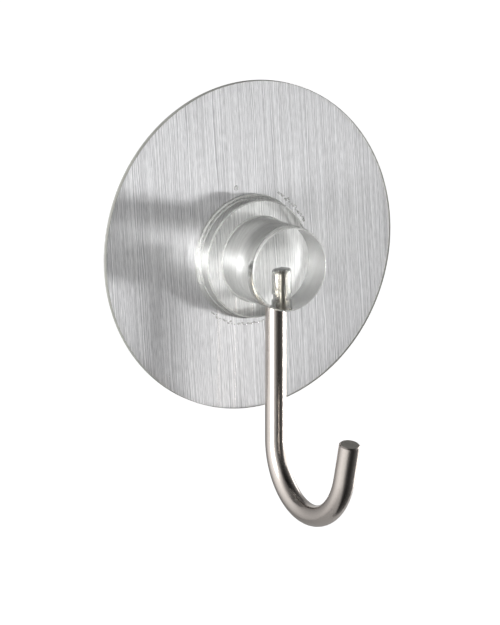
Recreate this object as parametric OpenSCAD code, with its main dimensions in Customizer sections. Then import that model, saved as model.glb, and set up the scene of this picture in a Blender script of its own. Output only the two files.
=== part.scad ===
// Adhesive wall hook: a thin round disc that sticks to the wall, a clear moulded boss
// and a plated wire hook that turns in the boss.
// The disc is three layers: adhesive, a brushed metal foil and a clear cover film. The boss
// has a thin flange that the cover film holds down on the foil.
// The wall is the plane y = 0 and the front faces -Y. The origin is the centre of the
// disc's sticky back face, and +Z is up.

/* [Disc] */
// Diameter of the disc
disc_d = 62; // [50:0.5:90]
// Thickness of the adhesive
pad_t = 0.25; // [0.2:0.05:1.5]
// Thickness of the brushed foil
foil_t = 0.1; // [0.05:0.05:0.5]
// Thickness of the cover film in front of the boss's flange
cover_t = 0.3; // [0.2:0.05:1]

/* [Boss] */
// How far the boss sits below the disc's centre
boss_drop = 2.1; // [0:0.1:6]
// Diameter of the knob
knob_d = 16; // [14:0.1:22]
// Length of the knob in front of the collar
knob_l = 11.15; // [9.5:0.05:16]
// Radius of the knob's front edge
knob_edge_r = 0.5; // [0.2:0.05:1.5]
// Radius of the fillet where the knob meets the collar
root_r = 0.35; // [0.1:0.05:1]
// How far the collar's front face stands out around the knob
collar_step = 3.15; // [2:0.05:5]
// How much wider the collar is at the disc, on each side
collar_flare = 0.6; // [0.1:0.05:1.5]
// Height of the collar in front of the disc
collar_h = 3.1; // [2:0.05:6]
// Radius of the collar's front edge
collar_edge_r = 0.3; // [0.1:0.05:1]
// How far the flange reaches out under the cover film
flange_lip = 1.25; // [0.8:0.05:4]
// Thickness of the flange
flange_t = 0.35; // [0.2:0.05:1.2]

/* [Hook] */
// Diameter of the wire
wire_d = 4; // [3:0.1:5]
// How far the wire's axis lies behind the knob's front face
wire_set_back = 5.15; // [4.2:0.05:6]
// How far the wire reaches up into the knob
wire_seat = 7.4; // [6:0.1:9]
// Straight length of wire between the knob and the bend
shank_l = 24.85; // [12:0.05:50]
// Radius of the bend at the middle of the wire
bend_r = 12.2; // [7:0.1:25]
// Angle that the bend turns through
bend_angle = 165; // [120:1:180]
// How much the wire thins in the bend, on each side
bend_thinning = 0.02; // [0.01:0.01:0.1]
// Straight length of the tip after the bend
tip_l = 7.3; // [3:0.1:20]
// Bevel on the wire's upper end, which leads it into the bore
lead_in = 0.6; // [0.2:0.05:1]
// Bevel on the edge of the cut tip
tip_edge = 0.25; // [0.1:0.05:0.8]

/* [Retention] */
// Height of the groove in the wire above the mouth of the bore
groove_rise = 1.8; // [1.2:0.1:3]
// Length of the groove along the wire
groove_l = 1.2; // [0.8:0.1:2]
// Depth of the groove
groove_depth = 0.25; // [0.15:0.05:0.5]

/* [Fits] */
// Gap between the wire and the bore, all round
wire_gap = 0.05; // [0.02:0.01:0.1]
// Gap between the wire's upper end and the blind end of the bore
end_gap = 0.15; // [0.05:0.05:0.5]
// Gap around the collar and the flange in the cover film
seat_gap = 0.1; // [0.05:0.05:0.3]

/* [Hidden] */
$fn = 96;

// Steps in each rounded corner of the boss's outline
corner_steps = 8;
// Angle that the bend runs on inside the straight wire at either end
bend_lap = 1.5;
// How far cuts run past the faces that they break
overrun = 1;

// Distances in front of the wall
foil_front = pad_t + foil_t;
flange_front = foil_front + flange_t;
cover_front = flange_front + cover_t;
collar_front = cover_front + collar_h;
knob_front = collar_front + knob_l;
wire_out = knob_front - wire_set_back;

// Radii of the boss, from the knob outwards
knob_r = knob_d/2;
collar_front_r = knob_r + collar_step;
collar_r = collar_front_r + collar_flare;
flange_r = collar_r + flange_lip;

// The wire, its bore, and the bead in the bore that the groove turns on
wire_r = wire_d/2;
bore_r = wire_r + wire_gap;
groove_r = wire_r - groove_depth;
bead_r = groove_r + wire_gap;
groove_top = groove_rise + groove_l;
knob_underside = -boss_drop - knob_r;

// Points of a rounded corner at b, between the edges from a and to c.
function corner(a, b, c, r) =
    let (
        u = (a - b)/norm(a - b),
        v = (c - b)/norm(c - b),
        half = acos(u*v)/2,
        centre = b + (u + v)/norm(u + v)*r/sin(half),
        start = b + u*r/tan(half) - centre,
        turn = sign(cross(b - a, c - b))*(180 - 2*half)
    )
    [for (i = [0:corner_steps])
        let (t = turn*i/corner_steps)
        centre + [start.x*cos(t) - start.y*sin(t), start.x*sin(t) + start.y*cos(t)]];

// Half outline of the boss: radius across, distance from the wall up.
function boss_outline() =
    let (
        collar_foot = [collar_r, flange_front],
        collar_base = [collar_r, cover_front],
        collar_edge = [collar_front_r, collar_front],
        knob_root = [knob_r, collar_front],
        knob_edge = [knob_r, knob_front],
        knob_centre = [0, knob_front]
    )
    concat(
        [[0, foil_front], [flange_r, foil_front], [flange_r, flange_front], collar_foot, collar_base],
        corner(collar_base, collar_edge, knob_root, collar_edge_r),
        corner(collar_edge, knob_root, knob_edge, root_r),
        corner(knob_root, knob_edge, knob_centre, knob_edge_r),
        [knob_centre]
    );

// Turns a shape to face the room, at its height in front of the wall.
module facing_room(out) {
    translate([0, -out, 0]) rotate([90, 0, 0]) children();
}

// The same, on the boss's axis.
module on_boss_axis(out) {
    translate([0, 0, -boss_drop]) facing_room(out) children();
}

// Stands a shape on the wire's axis, at the mouth of the bore.
module on_wire_axis() {
    translate([0, -wire_out, knob_underside]) children();
}

// Adhesive over the whole back.
module adhesive_pad() {
    color("gainsboro") facing_room(0) cylinder(d = disc_d, h = pad_t);
}

// Metal foil with a face brushed in one direction.
module brushed_foil() {
    color("silver") facing_room(pad_t) cylinder(d = disc_d, h = foil_t);
}

// Clear film over the foil, with a hole for the collar and a seat behind it for the flange.
module cover_film() {
    color("lightcyan", 0.4)
    difference() {
        facing_room(foil_front) cylinder(d = disc_d, h = flange_t + cover_t);
        on_boss_axis(foil_front - overrun) cylinder(r = flange_r + seat_gap, h = flange_t + overrun);
        on_boss_axis(foil_front) cylinder(r = collar_r + seat_gap, h = flange_t + cover_t + overrun);
    }
}

// Blind bore for the wire, narrowed by a bead that sits in the wire's groove.
module wire_bore() {
    rotate_extrude() polygon([
        [0, -overrun],
        [bore_r, -overrun],
        [bore_r, groove_rise + wire_gap],
        [bead_r, groove_rise + wire_gap],
        [bead_r, groove_top - wire_gap],
        [bore_r, groove_top - wire_gap],
        [bore_r, wire_seat + end_gap],
        [0, wire_seat + end_gap]
    ]);
}

// Clear moulding: thin flange, flared collar and straight knob with the bore from below.
module boss() {
    color("azure", 0.5)
    difference() {
        on_boss_axis(0) rotate_extrude() polygon(boss_outline());
        on_wire_axis() wire_bore();
    }
}

// Straight shank with its bevelled upper end and the groove that keeps it in the boss.
module shank() {
    rotate_extrude() polygon([
        [0, -shank_l],
        [wire_r, -shank_l],
        [wire_r, groove_rise],
        [groove_r, groove_rise],
        [groove_r, groove_top],
        [wire_r, groove_top],
        [wire_r, wire_seat - lead_in],
        [wire_r - lead_in, wire_seat],
        [0, wire_seat]
    ]);
}

// Straight tip with its cut end upwards.
module tip() {
    rotate_extrude() polygon([
        [0, 0],
        [wire_r, 0],
        [wire_r, tip_l - tip_edge],
        [wire_r - tip_edge, tip_l],
        [0, tip_l]
    ]);
}

// Round wire bent into a J that opens away from the wall.
module wire_hook() {
    color("tan")
    on_wire_axis() {
        shank();
        translate([0, -bend_r, -shank_l]) rotate([0, 90, 0]) rotate([0, 0, 90 - bend_angle]) {
            rotate([0, 0, -bend_lap])
                rotate_extrude(angle = bend_angle + 2*bend_lap)
                translate([bend_r, 0])
                circle(r = wire_r - bend_thinning);
            translate([bend_r, 0, 0]) rotate([90, 0, 0]) tip();
        }
    }
}

adhesive_pad();
brushed_foil();
cover_film();
boss();
wire_hook();
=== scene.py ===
import math
import random

import bmesh
import bpy
from mathutils import Matrix, Vector


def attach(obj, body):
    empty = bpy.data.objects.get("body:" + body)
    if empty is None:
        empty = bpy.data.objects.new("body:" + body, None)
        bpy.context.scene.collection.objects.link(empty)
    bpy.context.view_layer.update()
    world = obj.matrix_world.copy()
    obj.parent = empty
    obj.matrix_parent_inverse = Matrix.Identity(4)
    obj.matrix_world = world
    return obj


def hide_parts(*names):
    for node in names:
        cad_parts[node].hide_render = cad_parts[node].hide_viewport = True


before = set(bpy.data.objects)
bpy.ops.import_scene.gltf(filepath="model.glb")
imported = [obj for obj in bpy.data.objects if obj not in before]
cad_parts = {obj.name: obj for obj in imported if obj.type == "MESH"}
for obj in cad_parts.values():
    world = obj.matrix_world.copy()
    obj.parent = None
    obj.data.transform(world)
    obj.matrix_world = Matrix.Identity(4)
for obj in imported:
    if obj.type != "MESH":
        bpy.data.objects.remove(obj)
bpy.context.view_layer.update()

# Adhesive pad
# A round sheet of clear acrylic gel over the whole back of the disc, which grips the wall.
# It is die-cut in one stroke with the foil and the film in front of it, so their edges are flush.
MM = 0.001
DISC_R = 31*MM
PAD_FRONT = 0.25*MM
CUT_EDGE = 0.03*MM
# Bonded faces are drawn this far apart, so that no two of them lie in one plane.
BOND_LINE = 0.004*MM
ROUND_STEPS = 256
# Edges of the flat layers that turn by more than this many degrees stay sharp.
LAYER_SHARP = 20
# Layers are built lying down, with their front upwards, and then stood up to face the room.
STAND_UP = Matrix.Rotation(math.pi/2, 4, "X")


def colour(code):
    """Linear colour of an sRGB hex value."""
    parts = [int(code[i:i + 2], 16)/255 for i in (1, 3, 5)]
    return [p/12.92 if p <= 0.04045 else ((p + 0.055)/1.055)**2.4 for p in parts] + [1]


def add(tree, kind, links=(), **settings):
    """Adds a node: settings are its properties, links give its inputs a value or an output socket."""
    made = tree.nodes.new("ShaderNode" + kind)
    for name, value in settings.items():
        setattr(made, name, value)
    for name, value in dict(links).items():
        if isinstance(value, bpy.types.NodeSocket):
            tree.links.new(value, made.inputs[name])
        else:
            made.inputs[name].default_value = value
    return made


def new_material(name):
    """An empty material and its node tree."""
    material = bpy.data.materials.new(name)
    material.use_nodes = True
    material.node_tree.nodes.clear()
    return material, material.node_tree


def show(tree, shader):
    """Links a shader to the material's output."""
    add(tree, "OutputMaterial", {"Surface": shader.outputs[0]})


def flat_disc(back, front):
    """A thin round layer with a slightly broken edge."""
    layer = bmesh.new()
    bmesh.ops.create_circle(layer, cap_ends=True, segments=ROUND_STEPS, radius=DISC_R)
    rim = layer.edges[:]
    grown = bmesh.ops.extrude_face_region(layer, geom=layer.faces[:])["geom"]
    raised = [part for part in grown if isinstance(part, bmesh.types.BMVert)]
    bmesh.ops.translate(layer, verts=raised, vec=(0, 0, front - back))
    rim += [part for part in grown if isinstance(part, bmesh.types.BMEdge)]
    bmesh.ops.bevel(layer, geom=rim, offset=CUT_EDGE, affect="EDGES", segments=2, profile=0.5, material=-1)
    bmesh.ops.translate(layer, verts=layer.verts, vec=(0, 0, back))
    bmesh.ops.recalc_face_normals(layer, faces=layer.faces)
    return layer


def finish_piece(name, shape, body, slot, replaced, *materials, sharp=30):
    """Turns a shape into a piece that rides on its body and stands for its solid."""
    mesh = bpy.data.meshes.new(name)
    shape.to_mesh(mesh)
    shape.free()
    for material in materials:
        mesh.materials.append(material)
    mesh.shade_smooth()
    mesh.set_sharp_from_angle(angle=math.radians(sharp))
    piece = bpy.data.objects.new(name, mesh)
    bpy.context.scene.collection.objects.link(piece)
    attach(piece, body)
    if replaced:
        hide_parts(replaced)
    return piece


# Clear gel on the back of the foil looks pale grey, a little cloudy and half glossy.
CLOUD_SIZE = 6*MM
PEEL_SIZE = 0.9*MM
pad_gel, tree = new_material("clear_acrylic_gel")
place = add(tree, "TexCoord")
mottle = add(tree, "TexNoise", {"Vector": place.outputs["Object"], "Scale": 1/CLOUD_SIZE, "Detail": 3.0})
tint = add(tree, "ValToRGB", {"Fac": mottle.outputs["Fac"]})
tint.color_ramp.elements[0].color = colour("#C9C9C4")
tint.color_ramp.elements[1].color = colour("#DEDEDA")
peel = add(tree, "TexNoise", {"Vector": place.outputs["Object"], "Scale": 1/PEEL_SIZE, "Detail": 2.0})
dents = add(tree, "Bump", {"Height": peel.outputs["Fac"], "Strength": 0.25, "Distance": 0.1*MM})
show(tree, add(tree, "BsdfPrincipled", {
    "Base Color": tint.outputs["Color"], "Roughness": 0.22, "IOR": 1.47,
    "Normal": dents.outputs["Normal"]}))

pad = flat_disc(0, PAD_FRONT - BOND_LINE)
bmesh.ops.transform(pad, matrix=STAND_UP, verts=pad.verts)
finish_piece("adhesive_pad_gel", pad, "base", "adhesive", "adhesive_pad", pad_gel, sharp=LAYER_SHARP)

# Brushed foil
# A thin aluminium foil, scratched in one direction by a belt and left bare under the film.
# It lies behind everything else, so its brush lines show through the clear boss as well.
FOIL_FRONT = 0.35*MM
BRUSH_LEAN = math.radians(3.7)
# Width and length of the short scratches, of the bands that they lie in, and of the sway of the long ones.
SHORT_SCRATCH = (0.08*MM, 1.8*MM)
SWAY = (1.2*MM, 16*MM)
BAND = (0.9*MM, 22*MM)
# Long scratches are drawn coarser than real ones, as wide as a pixel needs to show them.
LONG_SCRATCH = 0.2*MM
SWAY_REACH = 4.0
# Painted shade: the flat foil's colour is darker on the side that would turn away from the lamp, right and
# up, as if the foil bowed a little.
SHADE_WAY = (1, 0, 0.45)
SHADE_REACH = 34*MM

# Brushed aluminium shows fine upright lines, and a sheen that spreads across them.
brushed, tree = new_material("brushed_aluminium")
place = add(tree, "TexCoord")
upright = add(tree, "Mapping", {"Vector": place.outputs["Object"], "Rotation": (0, BRUSH_LEAN, 0)})
lines = []
for wide, long in (SHORT_SCRATCH, SWAY, BAND):
    run = add(tree, "Mapping", {"Vector": upright.outputs["Vector"], "Scale": (1/wide, 0, 1/long)})
    noise = add(tree, "TexNoise", {"Vector": run.outputs["Vector"], "Scale": 1.0, "Detail": 1.0})
    lines.append(noise.outputs["Fac"])
short_lines, drift, bands = lines
sideways = add(tree, "SeparateXYZ", {"Vector": upright.outputs["Vector"]})
sway = add(tree, "Math", {0: drift, 1: SWAY_REACH}, operation="MULTIPLY")
count = add(tree, "Math", {
    0: sideways.outputs["X"], 1: 1/LONG_SCRATCH, 2: sway.outputs[0]}, operation="MULTIPLY_ADD")
long_lines = add(tree, "TexNoise", {
    "W": count.outputs[0], "Scale": 1.0, "Detail": 1.0}, noise_dimensions="1D")
fine = add(tree, "Mix", {
    "Factor": 0.55, "A": short_lines, "B": long_lines.outputs["Fac"]}, data_type="FLOAT")
brush = add(tree, "Mix", {"Factor": 0.18, "A": fine.outputs["Result"], "B": bands}, data_type="FLOAT")
shine = add(tree, "ValToRGB", {"Fac": brush.outputs["Result"]})
shine.color_ramp.elements[0].position = 0.35
shine.color_ramp.elements[1].position = 0.65
shine.color_ramp.elements[0].color = colour("#AEAEB0")
shine.color_ramp.elements[1].color = colour("#F6F6F7")
# Painted shade: the brush colour is scaled down from the lower left of the foil to its upper right.
slant = add(tree, "VectorMath", {0: place.outputs["Object"], 1: SHADE_WAY}, operation="DOT_PRODUCT")
painted_shade = add(tree, "MapRange", {
    "Value": slant.outputs["Value"], "From Min": -SHADE_REACH, "From Max": SHADE_REACH,
    "To Min": 1.1, "To Max": 0.9})
shine_painted_shade = add(tree, "VectorMath", {
    0: shine.outputs["Color"], "Scale": painted_shade.outputs["Result"]}, operation="SCALE")
scratch = add(tree, "Bump", {"Height": brush.outputs["Result"], "Strength": 0.3, "Distance": 0.02*MM})
across = add(tree, "Tangent", direction_type="UV_MAP", uv_map="brush")
show(tree, add(tree, "BsdfPrincipled", {
    "Base Color": shine_painted_shade.outputs["Vector"], "Metallic": 0.9, "Roughness": 0.5, "Anisotropic": 0.94,
    "Normal": scratch.outputs["Normal"], "Tangent": across.outputs["Tangent"]}))

foil = flat_disc(PAD_FRONT, FOIL_FRONT - BOND_LINE)
lie = foil.loops.layers.uv.new("brush")
lean = Matrix.Rotation(BRUSH_LEAN, 2)
for face in foil.faces:
    for loop in face.loops:
        loop[lie].uv = lean @ (loop.vert.co.xy/DISC_R)
bmesh.ops.transform(foil, matrix=STAND_UP, verts=foil.verts)
finish_piece("foil_disc", foil, "base", "brushed_face", "brushed_foil", brushed, sharp=LAYER_SHARP)

# Cover film
# A clear plastic film laid over the foil, with a punched hole that the boss's collar comes through
# and a seat around it that holds the boss's flange down on the foil.
FILM_FRONT = 1.0*MM
BOSS_DROP = 2.1*MM
HOLE_R = 11.85*MM
SEAT_R = 13.1*MM
SEAT_FRONT = FOIL_FRONT + 0.35*MM
FILM_EDGE = 0.08*MM
WELD = 0.001*MM

# Clear film shows the foil behind it under a faint gloss. Only its outer side shines, so light that
# comes back from the foil leaves it freely.
clear_film, tree = new_material("clear_plastic_film")
bend = add(tree, "Fresnel", {"IOR": 1.5})
side = add(tree, "NewGeometry")
front = add(tree, "Math", {0: 1.0, 1: side.outputs["Backfacing"]}, operation="SUBTRACT")
outer = add(tree, "Math", {0: bend.outputs["Fac"], 1: front.outputs[0]}, operation="MULTIPLY")
gloss = add(tree, "BsdfGlossy", {"Roughness": 0.06})
clear = add(tree, "BsdfTransparent", {"Color": colour("#FCFCFC")})
show(tree, add(tree, "MixShader", {
    0: outer.outputs[0], 1: clear.outputs["BSDF"], 2: gloss.outputs["BSDF"]}))

# Inner faces are bonded without air between them, so they neither shine nor bend the light.
bonded, tree = new_material("bonded_clear_face")
show(tree, add(tree, "BsdfTransparent", {"Color": colour("#FFFFFF")}))

# The die leaves the film's edge matt, so it shows as a thin grey line around the disc.
DRAG_SIZE = 2.5*MM
cut_edge, tree = new_material("cut_film_edge")
place = add(tree, "TexCoord")
drag = add(tree, "TexNoise", {"Vector": place.outputs["Object"], "Scale": 1/DRAG_SIZE, "Detail": 3.0})
tone = add(tree, "ValToRGB", {"Fac": drag.outputs["Fac"]})
tone.color_ramp.elements[0].color = colour("#8E8E88")
tone.color_ramp.elements[1].color = colour("#B4B4AE")
show(tree, add(tree, "BsdfPrincipled", {"Base Color": tone.outputs["Color"], "Roughness": 0.3, "IOR": 1.5}))


def draw_on(shape, edges, move, grow=1.0, look=0):
    """Extrudes a ring of edges, moves the new ring and scales it about its own centre."""
    made = bmesh.ops.extrude_edge_only(shape, edges=edges)["geom"]
    verts = [part for part in made if isinstance(part, bmesh.types.BMVert)]
    middle = sum((vert.co for vert in verts), Vector())/len(verts)
    bmesh.ops.scale(shape, verts=verts, vec=(grow,)*3, space=Matrix.Translation(-middle))
    bmesh.ops.translate(shape, verts=verts, vec=move)
    for part in made:
        if isinstance(part, bmesh.types.BMFace):
            part.material_index = look
    return [part for part in made if isinstance(part, bmesh.types.BMEdge)
            and all(vert in verts for vert in part.verts)]


# Rings of the film, each with its radius, its height, how far it lies below the disc's centre, and the
# material of the faces up to it: 0 for the clear front, 1 for the cut edge and 2 for bonded faces.
film = bmesh.new()
bmesh.ops.create_circle(
    film, segments=ROUND_STEPS, radius=DISC_R, matrix=Matrix.Translation((0, 0, FOIL_FRONT)))
ring = film.edges[:]
wide, high, low = DISC_R, FOIL_FRONT, 0
for next_wide, next_high, next_low, look in (
        (DISC_R, FILM_FRONT - FILM_EDGE, 0, 1),
        (DISC_R - FILM_EDGE*0.3, FILM_FRONT - FILM_EDGE*0.3, 0, 1),
        (DISC_R - FILM_EDGE, FILM_FRONT, 0, 1),
        (HOLE_R, FILM_FRONT, BOSS_DROP, 0),
        (HOLE_R, SEAT_FRONT, BOSS_DROP, 2),
        (SEAT_R, SEAT_FRONT, BOSS_DROP, 2),
        (SEAT_R, FOIL_FRONT, BOSS_DROP, 2),
        (DISC_R, FOIL_FRONT, 0, 2)):
    ring = draw_on(film, ring, (0, low - next_low, next_high - high), next_wide/wide, look)
    wide, high, low = next_wide, next_high, next_low
bmesh.ops.remove_doubles(film, verts=film.verts, dist=WELD)
bmesh.ops.recalc_face_normals(film, faces=film.faces)
bmesh.ops.transform(film, matrix=STAND_UP, verts=film.verts)
film_disc = finish_piece(
    "film_disc", film, "base", "clear_film", "cover_film", clear_film, cut_edge, bonded, sharp=LAYER_SHARP)
# Clear film this thin leaves no shadow.
film_disc.visible_shadow = False

# Where the film steps down from the flange to the foil, it bulges over small pockets of air: two rows of
# fine ones beside the collar and one round blister above it.
# A row runs from one turn to another, in degrees, with a count of pockets and how much larger they are.
BUBBLE_ROWS = ((229, 283, 36, 1.15), (24, 62, 20, 1.6))
BUBBLE_OUT = SEAT_R - 0.25*MM
BUBBLE_SMALL = 0.08*MM
BUBBLE_LARGE = 0.2*MM
BUBBLE_STRAY = 0.25*MM
BUBBLE_FORM = (0.8, 1.3, 0.45, 1)
BLISTER_TURN = 103
BLISTER_OUT = 13.6*MM
BLISTER_SIZE = 0.5*MM
BLISTER_FORM = (1, 1, 0.2, 1)

# Film over air bends the view of the foil, so a pocket shows as a small dark and light curl.
CREASE_SIZE = 0.3*MM
blister_skin, tree = new_material("film_over_trapped_air")
place = add(tree, "TexCoord")
crease = add(tree, "TexNoise", {"Vector": place.outputs["Object"], "Scale": 1/CREASE_SIZE, "Detail": 2.0})
wrinkle = add(tree, "Bump", {"Height": crease.outputs["Fac"], "Strength": 0.15, "Distance": 0.05*MM})
show(tree, add(tree, "BsdfPrincipled", {
    "Base Color": colour("#F4F4F2"), "Roughness": 0.05, "IOR": 1.5, "Transmission Weight": 0.8,
    "Normal": wrinkle.outputs["Normal"]}))

draw = random.Random(11)
pockets = [(BLISTER_TURN, BLISTER_OUT, BLISTER_SIZE, BLISTER_FORM)]
for first, last, count, larger in BUBBLE_ROWS:
    for i in range(count):
        degrees = first + (last - first)*(i + draw.random())/count
        out = BUBBLE_OUT + draw.uniform(-BUBBLE_STRAY, BUBBLE_STRAY)
        size = draw.uniform(BUBBLE_SMALL, BUBBLE_LARGE)*larger
        pockets.append((degrees, out, size, BUBBLE_FORM))
bubbles = bmesh.new()
for degrees, out, size, form in pockets:
    turned = Matrix.Rotation(math.radians(degrees), 4, "Z") @ Matrix.Translation((out, 0, 0))
    bmesh.ops.create_icosphere(
        bubbles, subdivisions=3, radius=size,
        matrix=Matrix.Translation((0, -BOSS_DROP, FILM_FRONT)) @ turned @ Matrix.Diagonal(form))
bmesh.ops.transform(bubbles, matrix=STAND_UP, verts=bubbles.verts)
trapped = finish_piece("trapped_bubbles", bubbles, "base", "clear_film", None, blister_skin, sharp=80)
trapped.visible_shadow = False

# Boss
# One clear moulding of polished plastic: a thin flange under the film, a flared collar and a knob.
# A blind bore from below takes the wire, and a bead in it runs in the wire's groove.
FLANGE_R = 13*MM
COLLAR_R = 11.75*MM
COLLAR_TOP_R = 11.15*MM
COLLAR_FRONT = 4.1*MM
KNOB_R = 8*MM
KNOB_FRONT = 15.25*MM
COLLAR_ROUND = 0.4*MM
ROOT_ROUND = 0.35*MM
KNOB_ROUND = 0.5*MM
# The collar's wall sweeps out over its lowest stretch, which is polished, and ends in a hazy foot.
SWEEP_FRONT = 1.61*MM
SWEEP_ROUND = 1.9*MM
SWEEP_LOW = 1.3*MM
# The moulding is bonded to the foil without air between them, so its foot reaches just into the foil.
FOOT = FOIL_FRONT - 3*BOND_LINE
WIRE_OUT = 10.1*MM
MOUTH = -BOSS_DROP - KNOB_R
BORE_R = 2.05*MM
BORE_END = 7.55*MM
BORE_DOME = 7.95*MM
BORE_ROUND = 0.7*MM
BORE_RUN_OUT = 1*MM
BEAD_R = 1.8*MM
BEAD_LOW = 1.85*MM
BEAD_HIGH = 2.95*MM
LATHE_STEPS = 320
BORE_STEPS = 96
CORNER_STEPS = 10
# Points this far outside a rounded corner keep the shading of the straight stretch beside it flat.
HOLD = 0.04*MM


def lathe(points, steps):
    """Spins an outline of (radius, height) points about the upright axis into a closed shape."""
    shape = bmesh.new()
    verts = [shape.verts.new((radius, 0, height)) for radius, height in points]
    edges = [shape.edges.new(pair) for pair in zip(verts, verts[1:])]
    bmesh.ops.spin(shape, geom=verts + edges, cent=(0, 0, 0), axis=(0, 0, 1), angle=2*math.pi,
                   steps=steps, use_merge=True)
    bmesh.ops.remove_doubles(shape, verts=shape.verts, dist=WELD/2)
    bmesh.ops.recalc_face_normals(shape, faces=shape.faces)
    return shape


def rounded(before, at, after, radius):
    """Points of a rounded corner, with a holding point just outside either end of the round."""
    before, at, after = Vector(before), Vector(at), Vector(after)
    into, out = (before - at).normalized(), (after - at).normalized()
    half = into.angle(out)/2
    reach = radius/math.tan(half)
    centre = at + (into + out).normalized()*radius/math.sin(half)
    start, end = at + into*reach - centre, at + out*reach - centre
    curve = [centre + start.slerp(end, i/CORNER_STEPS)*radius for i in range(CORNER_STEPS + 1)]
    return [at + into*(reach + HOLD), *curve, at + out*(reach + HOLD)]


def cut_away(shape, tool):
    """Cuts one closed shape out of another."""
    pair = []
    for name, part in (("cut_from", shape), ("cut_tool", tool)):
        mesh = bpy.data.meshes.new(name)
        part.to_mesh(mesh)
        part.free()
        pair.append(bpy.data.objects.new(name, mesh))
        bpy.context.scene.collection.objects.link(pair[-1])
    cut = pair[0].modifiers.new("cut", "BOOLEAN")
    cut.operation = "DIFFERENCE"
    cut.solver = "EXACT"
    cut.object = pair[1]
    evaluated = pair[0].evaluated_get(bpy.context.evaluated_depsgraph_get())
    left = bmesh.new()
    left.from_mesh(evaluated.to_mesh())
    for spent in pair:
        bpy.data.objects.remove(spent)
    return left


collar_base = (COLLAR_R, FILM_FRONT)
sweep = (COLLAR_TOP_R, SWEEP_FRONT)
collar_edge = (COLLAR_TOP_R, COLLAR_FRONT)
knob_root = (KNOB_R, COLLAR_FRONT)
knob_edge = (KNOB_R, KNOB_FRONT)
knob_centre = (0, KNOB_FRONT)
moulding = lathe([
    (0, FOOT), (COLLAR_R, FOOT), collar_base,
    *rounded(collar_base, sweep, collar_edge, SWEEP_ROUND),
    *rounded(sweep, collar_edge, knob_root, COLLAR_ROUND),
    *rounded(collar_edge, knob_root, knob_edge, ROOT_ROUND),
    *rounded(knob_root, knob_edge, knob_centre, KNOB_ROUND),
    knob_centre], LATHE_STEPS)
bmesh.ops.translate(moulding, verts=moulding.verts, vec=(0, -BOSS_DROP, 0))
bmesh.ops.transform(moulding, matrix=STAND_UP, verts=moulding.verts)

bore_wall_top = (BORE_R, BORE_END)
dome_top = (0, BORE_DOME)
bore = lathe([
    (0, -BORE_RUN_OUT), (BORE_R, -BORE_RUN_OUT), (BORE_R, BEAD_LOW), (BEAD_R, BEAD_LOW),
    (BEAD_R, BEAD_HIGH), (BORE_R, BEAD_HIGH),
    *rounded((BORE_R, BEAD_HIGH), bore_wall_top, dome_top, BORE_ROUND), dome_top], BORE_STEPS)
bmesh.ops.translate(bore, verts=bore.verts, vec=(0, -WIRE_OUT, MOUTH))
bored = cut_away(moulding, bore)

# Polished clear plastic bends the view of the foil behind it and mirrors the room faintly. The knob's
# wall slides out of the mould and is less polished, so what it mirrors from inside looks soft.
CLEAR = colour("#F8F9F4")
WALL_ROUGH = 0.12
ON_AXIS = (0, 0, BOSS_DROP)
clear_plastic, tree = new_material("clear_moulded_plastic")
place = add(tree, "TexCoord")
in_boss = add(tree, "VectorMath", {
    0: place.outputs["Object"], 1: (1, 0, 1), 2: ON_AXIS}, operation="MULTIPLY_ADD")
axis_out = add(tree, "VectorMath", {0: in_boss.outputs[0]}, operation="LENGTH")
past_wall = add(tree, "Math", {0: axis_out.outputs["Value"], 1: KNOB_R}, operation="SUBTRACT")
off_wall = add(tree, "Math", {0: past_wall.outputs[0]}, operation="ABSOLUTE")
polish = add(tree, "MapRange", {
    "Value": off_wall.outputs[0], "From Min": 0.05*MM, "From Max": 0.15*MM,
    "To Min": WALL_ROUGH, "To Max": 0.0})
solid = add(tree, "BsdfPrincipled", {
    "Base Color": CLEAR, "Roughness": polish.outputs["Result"], "IOR": 1.49, "Transmission Weight": 1.0})

# Lamps shine through it, and the shares below say how much of their light comes down at each spot of
# the foil. The lamp on the right reaches the foil through the ledge around the knob, through the knob's
# wall and through the collar's wall. A wall bends the light away from its foot and gathers it into a
# strip along the middle. A spot is found by going back along the ray that leaves the plastic.
TO_LAMP = Vector((0.883, -0.431, -0.182))
LEDGE_SHIFT = (2.8*MM, 0, -1.5*MM)
KNOB_SHIFT = (2.8*MM, 0, -0.7*MM)
KNOB_STRETCH = (1, 1, 1.13)
KNOB_STRIP = 2.6*MM
COLLAR_STRIP = 3.2*MM
ray = add(tree, "LightPath")
slope = add(tree, "LayerWeight", {"Blend": 0.5})
side = add(tree, "NewGeometry")
far = ray.outputs["Ray Length"]
back = add(tree, "VectorMath", {
    0: far, 1: (-TO_LAMP.x, 0, -TO_LAMP.z), 2: place.outputs["Object"]}, operation="MULTIPLY_ADD")
spot = add(tree, "VectorMath", {0: back.outputs[0], 1: (1, 0, 1), 2: ON_AXIS}, operation="MULTIPLY_ADD")
spot_out = add(tree, "VectorMath", {0: spot.outputs[0]}, operation="LENGTH")
spot_at = add(tree, "SeparateXYZ", {"Vector": spot.outputs[0]})
exit_at = add(tree, "SeparateXYZ", {"Vector": place.outputs["Object"]})
on_ledge = add(tree, "VectorMath", {0: spot.outputs[0], 1: LEDGE_SHIFT}, operation="ADD")
ledge_out = add(tree, "VectorMath", {0: on_ledge.outputs[0]}, operation="LENGTH")
by_knob = add(tree, "VectorMath", {
    0: spot.outputs[0], 1: KNOB_STRETCH, 2: KNOB_SHIFT}, operation="MULTIPLY_ADD")
beside = add(tree, "VectorMath", {0: by_knob.outputs[0], 1: (0, -1, -1)}, operation="MAXIMUM")
knob_out = add(tree, "VectorMath", {0: beside.outputs[0]}, operation="LENGTH")
off_strips = []
for middle in (KNOB_STRIP, COLLAR_STRIP):
    above = add(tree, "Math", {0: spot_at.outputs["Z"], 1: middle}, operation="ADD")
    off_strips.append(add(tree, "Math", {0: above.outputs[0]}, operation="ABSOLUTE").outputs[0])
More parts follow.
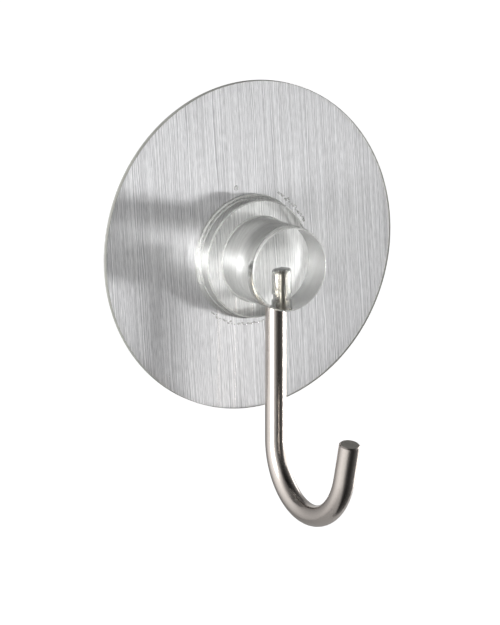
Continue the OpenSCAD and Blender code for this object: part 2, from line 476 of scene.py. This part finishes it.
# Each share goes from one value to another between two places, in mm.
share = {}
for name, value, start, end, first, last, way in (
        ("ledge", ledge_out.outputs["Value"], 10.9, 11.4, 1.1, 0, "LINEAR"),
        ("past_knob", knob_out.outputs["Value"], 7.8, 9.5, 0, 1, "LINEAR"),
        ("knob_wall", spot_at.outputs["X"], -5.5, -3.5, 1.75, 0, "LINEAR"),
        ("knob_strip", off_strips[0], 1.5, 5.5, 1, 0, "SMOOTHSTEP"),
        ("collar_wall", spot_at.outputs["X"], -4, -2, 0, 1.25, "LINEAR"),
        ("collar_strip", off_strips[1], 1.5, 7.5, 1, 0, "SMOOTHSTEP"),
        ("off_foot", spot_at.outputs["X"], 8.5, 9.8, 1, 0, "LINEAR"),
        ("under_boss", spot_out.outputs["Value"], 11.4, 11.8, 1, 0, "LINEAR"),
        ("right_half", exit_at.outputs["X"], -0.5, 0.5, 0, 1, "LINEAR"),
        ("from_left", exit_at.outputs["Z"], -11, -3, 0, 0.82, "LINEAR"),
        ("rim", far, 3, 14, 0.35, 0.05, "LINEAR"),
        ("spread", far, 2, 16, 0.62, 0.4, "LINEAR")):
    share[name] = add(tree, "MapRange", {
        "Value": value, "From Min": start*MM, "From Max": end*MM, "To Min": first, "To Max": last},
        interpolation_type=way).outputs["Result"]
through_ledge = add(tree, "Math", {0: share["ledge"], 1: share["past_knob"]}, operation="MULTIPLY")
through_collar = add(tree, "Math", {0: share["collar_wall"], 1: share["off_foot"]}, operation="MULTIPLY")
two_ways = add(tree, "Math", {
    0: through_collar.outputs[0], 1: share["collar_strip"], 2: through_ledge.outputs[0]},
    operation="MULTIPLY_ADD")
three_ways = add(tree, "Math", {
    0: share["knob_wall"], 1: share["knob_strip"], 2: two_ways.outputs[0]}, operation="MULTIPLY_ADD")
# Beyond the boss the knob's walls throw a shadow with a bright line along its middle.
beyond = add(tree, "MapRange", {
    "Value": slope.outputs["Facing"], "From Min": 0.09, "From Max": 0.27, "To Min": 2.05, "To Max": 0.06},
    interpolation_type="SMOOTHSTEP")
from_right = add(tree, "Mix", {
    "Factor": share["under_boss"], "A": beyond.outputs["Result"], "B": three_ways.outputs[0]},
    data_type="FLOAT")
leaving = add(tree, "Mix", {
    "Factor": share["right_half"], "A": share["from_left"], "B": from_right.outputs["Result"]},
    data_type="FLOAT")
lens = add(tree, "MapRange", {
    "Value": slope.outputs["Facing"], "From Min": 0.1, "From Max": 0.3, "To Min": 1.0,
    "To Max": share["rim"]}, interpolation_type="SMOOTHSTEP")
entering = add(tree, "Math", {0: lens.outputs["Result"], 1: share["spread"]}, operation="MULTIPLY")
passed = add(tree, "Mix", {
    "Factor": side.outputs["Backfacing"], "A": entering.outputs[0], "B": leaving.outputs["Result"]},
    data_type="FLOAT")
lit = add(tree, "BsdfTransparent", {"Color": passed.outputs["Result"]})
show(tree, add(tree, "MixShader", {
    0: ray.outputs["Is Shadow Ray"], 1: solid.outputs["BSDF"], 2: lit.outputs["BSDF"]}))

# The bore is left as moulded and worn by the wire, so the wire in it looks rippled and silvery.
RIPPLE_SIZE = 0.4*MM
bore_wall, tree = new_material("moulded_bore_wall")
place = add(tree, "TexCoord")
grain = add(tree, "TexNoise", {"Vector": place.outputs["Object"], "Scale": 1/RIPPLE_SIZE, "Detail": 2.0})
waves = add(tree, "Bump", {"Height": grain.outputs["Fac"], "Strength": 1.0, "Distance": 0.3*MM})
show(tree, add(tree, "BsdfPrincipled", {
    "Base Color": CLEAR, "Roughness": 0.12, "IOR": 1.49, "Transmission Weight": 1.0,
    "Normal": waves.outputs["Normal"]}))

# Rounded edges and corners are hazy from the mould and from handling, and show as light lines.
RUB_SIZE = 0.6*MM
hazy, tree = new_material("hazy_moulded_edge")
place = add(tree, "TexCoord")
rub = add(tree, "TexNoise", {"Vector": place.outputs["Object"], "Scale": 1/RUB_SIZE, "Detail": 3.0})
haze = add(tree, "MapRange", {
    "Value": rub.outputs["Fac"], "From Min": 0.35, "From Max": 0.65, "To Min": 0.75, "To Max": 0.5})
edge = add(tree, "BsdfPrincipled", {
    "Base Color": CLEAR, "Roughness": 0.1, "IOR": 1.49, "Transmission Weight": haze.outputs["Result"]})
ray = add(tree, "LightPath")
lit = add(tree, "BsdfTransparent", {"Color": colour("#D8D8D8")})
show(tree, add(tree, "MixShader", {
    0: ray.outputs["Is Shadow Ray"], 1: edge.outputs["BSDF"], 2: lit.outputs["BSDF"]}))

# Faces that lie aslant between the walls and the fronts belong to the rounded edges. The collar's foot
# is hazy only above this height.
ASLANT = (0.25, 0.97)
FOOT_HAZE_END = -BOSS_DROP - 4*MM
bored.normal_update()
for face in bored.faces:
    middle = face.calc_center_median()
    from_wire = (middle.xy + Vector((0, WIRE_OUT))).length
    at_foot = middle.y > -SWEEP_LOW and middle.z > FOOT_HAZE_END
    off_sweep = middle.y < -SWEEP_FRONT or at_foot
    if from_wire < BORE_R + BOND_LINE and middle.z > MOUTH:
        if middle.z < MOUTH + BORE_DOME:
            face.material_index = 1
    elif ASLANT[0] < abs(face.normal.y) < ASLANT[1] and off_sweep:
        face.material_index = 2
finish_piece("clear_boss", bored, "base", "clear_plastic", "boss", clear_plastic, bore_wall, hazy)

# The flange is bonded between film and foil without air, so it is drawn as clear as the glue around it.
flange_in = COLLAR_R + BOND_LINE
flange_front = SEAT_FRONT - BOND_LINE
flange = lathe([
    (flange_in, FOOT), (FLANGE_R, FOOT), (FLANGE_R, flange_front), (flange_in, flange_front),
    (flange_in, FOOT)], LATHE_STEPS)
bmesh.ops.translate(flange, verts=flange.verts, vec=(0, -BOSS_DROP, 0))
bmesh.ops.transform(flange, matrix=STAND_UP, verts=flange.verts)
clear_flange = finish_piece("clear_flange", flange, "base", "clear_plastic", None, bonded)
clear_flange.visible_shadow = False

# Wire hook
# One length of 4 mm steel wire, nickel plated and bent into a J that opens away from the wall.
# Its bevelled upper end is pushed up the bore until the bead snaps into its groove, where it turns.
WIRE_R = 2*MM
SHANK = 24.85*MM
SEAT = 7.4*MM
LEAD_IN = 0.6*MM
GROOVE_R = 1.75*MM
GROOVE_LOW = 1.8*MM
GROOVE_HIGH = 3.0*MM
BEND_R = 12.2*MM
BEND = math.radians(165)
TIP = 7.3*MM
TIP_EDGE = 0.25*MM
WIRE_STEPS = 72
BEND_STEPS = 72

# Nickel plating on drawn wire is a warm mirror that blurs what it shows a little.
STAIN_SIZE = 3*MM
PIT_SIZE = 0.35*MM
nickel, tree = new_material("nickel_plated_wire")
place = add(tree, "TexCoord")
stain = add(tree, "TexNoise", {"Vector": place.outputs["Object"], "Scale": 1/STAIN_SIZE, "Detail": 4.0})
plate = add(tree, "ValToRGB", {"Fac": stain.outputs["Fac"]})
plate.color_ramp.elements[0].color = colour("#CFC7C0")
plate.color_ramp.elements[1].color = colour("#DAD2CC")
pits = add(tree, "TexNoise", {"Vector": place.outputs["Object"], "Scale": 1/PIT_SIZE, "Detail": 2.0})
uneven = add(tree, "Bump", {"Height": pits.outputs["Fac"], "Strength": 0.5, "Distance": 0.025*MM})
show(tree, add(tree, "BsdfPrincipled", {
    "Base Color": plate.outputs["Color"], "Metallic": 1.0, "Roughness": 0.2,
    "Normal": uneven.outputs["Normal"]}))

# The sheared ends are bare steel, matt and grainy.
SHEAR_SIZE = 0.4*MM
cut_steel, tree = new_material("cut_steel_end")
place = add(tree, "TexCoord")
shear = add(tree, "TexNoise", {"Vector": place.outputs["Object"], "Scale": 1/SHEAR_SIZE, "Detail": 3.0})
bare = add(tree, "ValToRGB", {"Fac": shear.outputs["Fac"]})
bare.color_ramp.elements[0].color = colour("#B8B4AC")
bare.color_ramp.elements[1].color = colour("#E2DFD9")
show(tree, add(tree, "BsdfPrincipled", {
    "Base Color": bare.outputs["Color"], "Metallic": 1.0, "Roughness": 0.45}))

# The wire grows from the circle where shank and bend meet: up into the bore, and down around the bend.
wire = bmesh.new()
first_ring = bmesh.ops.create_circle(
    wire, segments=WIRE_STEPS, radius=WIRE_R, matrix=Matrix.Translation((0, 0, -SHANK)))["verts"]
start = list({edge for vert in first_ring for edge in vert.link_edges})
heights = [
    (-SHANK, WIRE_R), (GROOVE_LOW, WIRE_R), (GROOVE_LOW, GROOVE_R), (GROOVE_HIGH, GROOVE_R),
    (GROOVE_HIGH, WIRE_R), (SEAT - LEAD_IN, WIRE_R), (SEAT, WIRE_R - LEAD_IN)]
ring = start
for (low, small), (high, wide) in zip(heights, heights[1:]):
    ring = draw_on(wire, ring, (0, 0, high - low), wide/small)
top_cap = bmesh.ops.contextual_create(wire, geom=ring)["faces"]
swept = bmesh.ops.spin(
    wire, geom=start, cent=(0, -BEND_R, -SHANK), axis=(1, 0, 0), angle=-BEND, steps=BEND_STEPS,
    use_merge=False, use_duplicate=False)["geom_last"]
ring = [part for part in swept if isinstance(part, bmesh.types.BMEdge)]
tip_way = Matrix.Rotation(-BEND, 3, "X") @ Vector((0, 0, -1))
ring = draw_on(wire, ring, tip_way*(TIP - TIP_EDGE))
ring = draw_on(wire, ring, tip_way*TIP_EDGE, (WIRE_R - TIP_EDGE)/WIRE_R)
end_cap = bmesh.ops.contextual_create(wire, geom=ring)["faces"]
for face in top_cap + end_cap:
    face.material_index = 1
bmesh.ops.recalc_face_normals(wire, faces=wire.faces)
bmesh.ops.translate(wire, verts=wire.verts, vec=(0, -WIRE_OUT, MOUTH))
finish_piece("wire_j_hook", wire, "hook", "plated_wire", "wire_hook", nickel, cut_steel)

# Studio
# A plain pale table below and behind the part, and a tent with a bright wall on the left, a darker one
# on the right and an open, dark front. A small lamp on the right throws the shadow, a wall of light and
# a sheet beside it fill the right side, and a tall soft box stands on the left.
TABLE_Z = -0.6
TABLE_LEFT = -0.5
TABLE_RIGHT = 3.5
TABLE_NEAR = 0.05
TABLE_FAR = 5.0

# A white table that the camera sees as white, with what shadow falls on it.
table_white, tree = new_material("white_table")
ray = add(tree, "LightPath")
seen = add(tree, "Math", {
    0: ray.outputs["Is Camera Ray"], 1: ray.outputs["Is Transmission Ray"]}, operation="MAXIMUM")
glow = add(tree, "Math", {0: seen.outputs[0], 1: 0.9}, operation="MULTIPLY")
show(tree, add(tree, "BsdfPrincipled", {
    "Base Color": colour("#CECECE"), "Roughness": 0.8, "Emission Color": colour("#FFFFFF"),
    "Emission Strength": glow.outputs[0]}))

table = bmesh.new()
bmesh.ops.create_grid(table, x_segments=1, y_segments=1, size=1)
bmesh.ops.scale(
    table, verts=table.verts, vec=((TABLE_RIGHT - TABLE_LEFT)/2, (TABLE_FAR - TABLE_NEAR)/2, 1))
bmesh.ops.translate(
    table, verts=table.verts, vec=((TABLE_RIGHT + TABLE_LEFT)/2, (TABLE_FAR + TABLE_NEAR)/2, TABLE_Z))
mesh = bpy.data.meshes.new("table")
table.to_mesh(mesh)
table.free()
mesh.materials.append(table_white)
table_top = bpy.data.objects.new("table", mesh)
bpy.context.scene.collection.objects.link(table_top)

# Brightness of the tent by its bearing, from the front to the right, and by its height, in degrees.
TENT_ROUND = (
    (-180, 0.25), (-150, 0.5), (-125, 1.0), (-100, 1.3), (-60, 1.3), (-45, 0.8), (-30, 0.24), (-10, 0.05),
    (20, 0.05), (35, 0.1), (50, 0.15), (65, 0.2), (110, 0.3), (125, 0.35), (142, 0.3), (180, 0.25))
TENT_HEIGHT = (
    (-75, 0.3), (-50, 0.4), (-25, 0.85), (-5, 1.0), (25, 1.0), (40, 0.7), (55, 0.25), (75, 0.1))
world = bpy.data.worlds.new("white_tent")
bpy.context.scene.world = world
world.use_nodes = True
tree = world.node_tree
tree.nodes.clear()
way = add(tree, "TexCoord")
parts = add(tree, "SeparateXYZ", {"Vector": way.outputs["Generated"]})
front = add(tree, "Math", {0: parts.outputs["Y"], 1: -1.0}, operation="MULTIPLY")
bearing = add(tree, "Math", {0: parts.outputs["X"], 1: front.outputs[0]}, operation="ARCTAN2")
around = add(tree, "MapRange", {"Value": bearing.outputs[0], "From Min": -math.pi, "From Max": math.pi})
height = add(tree, "MapRange", {"Value": parts.outputs["Z"], "From Min": -1.0, "From Max": 1.0})
tent_walls = []
for value, stops in (
        (around, [((degrees + 180)/360, bright) for degrees, bright in TENT_ROUND]),
        (height, [((math.sin(math.radians(degrees)) + 1)/2, bright) for degrees, bright in TENT_HEIGHT])):
    grade = add(tree, "ValToRGB", {"Fac": value.outputs["Result"]})
    for at, bright in stops:
        stop = grade.color_ramp.elements.new(at)
        stop.color = (bright, bright, bright, 1)
    grade.color_ramp.elements.remove(grade.color_ramp.elements[-1])
    grade.color_ramp.elements.remove(grade.color_ramp.elements[0])
    tent_walls.append(grade.outputs["Color"])
walls = add(tree, "Math", {0: tent_walls[0], 1: tent_walls[1]}, operation="MULTIPLY")
# The camera sees plain white behind the part, also straight through the clear plastic. Between the
# height of the part and straight up or down that white fades, so the plastic's bent edges stand out.
ray = add(tree, "LightPath")
bounced = add(tree, "Math", {
    0: ray.outputs["Diffuse Depth"], 1: ray.outputs["Glossy Depth"]}, operation="ADD", use_clamp=True)
straight = add(tree, "Math", {0: 1.0, 1: bounced.outputs[0]}, operation="SUBTRACT")
through = add(tree, "Math", {
    0: ray.outputs["Is Transmission Ray"], 1: straight.outputs[0]}, operation="MULTIPLY")
tilt = add(tree, "Math", {0: parts.outputs["Z"]}, operation="ABSOLUTE")
level = add(tree, "MapRange", {
    "Value": tilt.outputs[0], "From Min": 0.35, "From Max": 0.7, "To Min": 1.0, "To Max": 0.25})
steep = add(tree, "MapRange", {
    "Value": tilt.outputs[0], "From Min": 0.85, "From Max": 0.95, "To Min": 0.0, "To Max": 1.0})
plain = add(tree, "Math", {0: level.outputs["Result"], 1: steep.outputs["Result"]}, operation="MAXIMUM")
clear_view = add(tree, "Math", {0: through.outputs[0], 1: plain.outputs[0]}, operation="MULTIPLY")
seen = add(tree, "Math", {
    0: ray.outputs["Is Camera Ray"], 1: clear_view.outputs[0]}, operation="MAXIMUM")
bright = add(tree, "Mix", {"Factor": seen.outputs[0], "A": walls.outputs[0], "B": 1.0}, data_type="FLOAT")
tent = add(tree, "Background", {"Color": colour("#FFFFFF"), "Strength": bright.outputs["Result"]})
add(tree, "OutputWorld", {"Surface": tent.outputs["Background"]})

# Each soft box has its place, width, height and watts, points at the part and isn't seen itself.
LAMP_AIM = Vector((0, -0.005, -0.01))
for name, place, wide, high, watts in (
        ("right_lamp", (1.16, -0.57, -0.265), 0.22, 0.13, 3.3),
        ("right_wall", (1.25, 0.2, -0.03), 1.1, 1.25, 8.7),
        ("right_sheet", (1.15, -0.65, 0.0), 0.55, 1.2, 2.9),
        ("left_lamp", (-1.2, -0.36, 0.05), 0.6, 0.9, 9)):
    light = bpy.data.lights.new(name, "AREA")
    light.shape = "RECTANGLE"
    light.size = wide
    light.size_y = high
    light.energy = watts
    lamp = bpy.data.objects.new(name, light)
    lamp.location = place
    lamp.rotation_mode = "QUATERNION"
    lamp.rotation_quaternion = (LAMP_AIM - Vector(place)).to_track_quat("-Z", "Y")
    lamp.visible_camera = False
    bpy.context.scene.collection.objects.link(lamp)

# Camera
# Stands where the picture was taken from, to the left of the hook and a little above it, about a metre
# away with a long lens.
EYE = Vector((-577.146, -950.135, 223.025))*MM
AIM = Vector((-0.913, -2.369, -12.453))*MM
camera = bpy.data.cameras.new("camera")
camera.sensor_width = 36
camera.lens = 350.557
camera.clip_start = 0.05
camera.clip_end = 20
eye = bpy.data.objects.new("camera", camera)
eye.location = EYE
eye.rotation_mode = "QUATERNION"
eye.rotation_quaternion = (AIM - EYE).to_track_quat("-Z", "Y")
bpy.context.scene.collection.objects.link(eye)
bpy.context.scene.camera = eye
bpy.context.scene.view_settings.view_transform = "Standard"
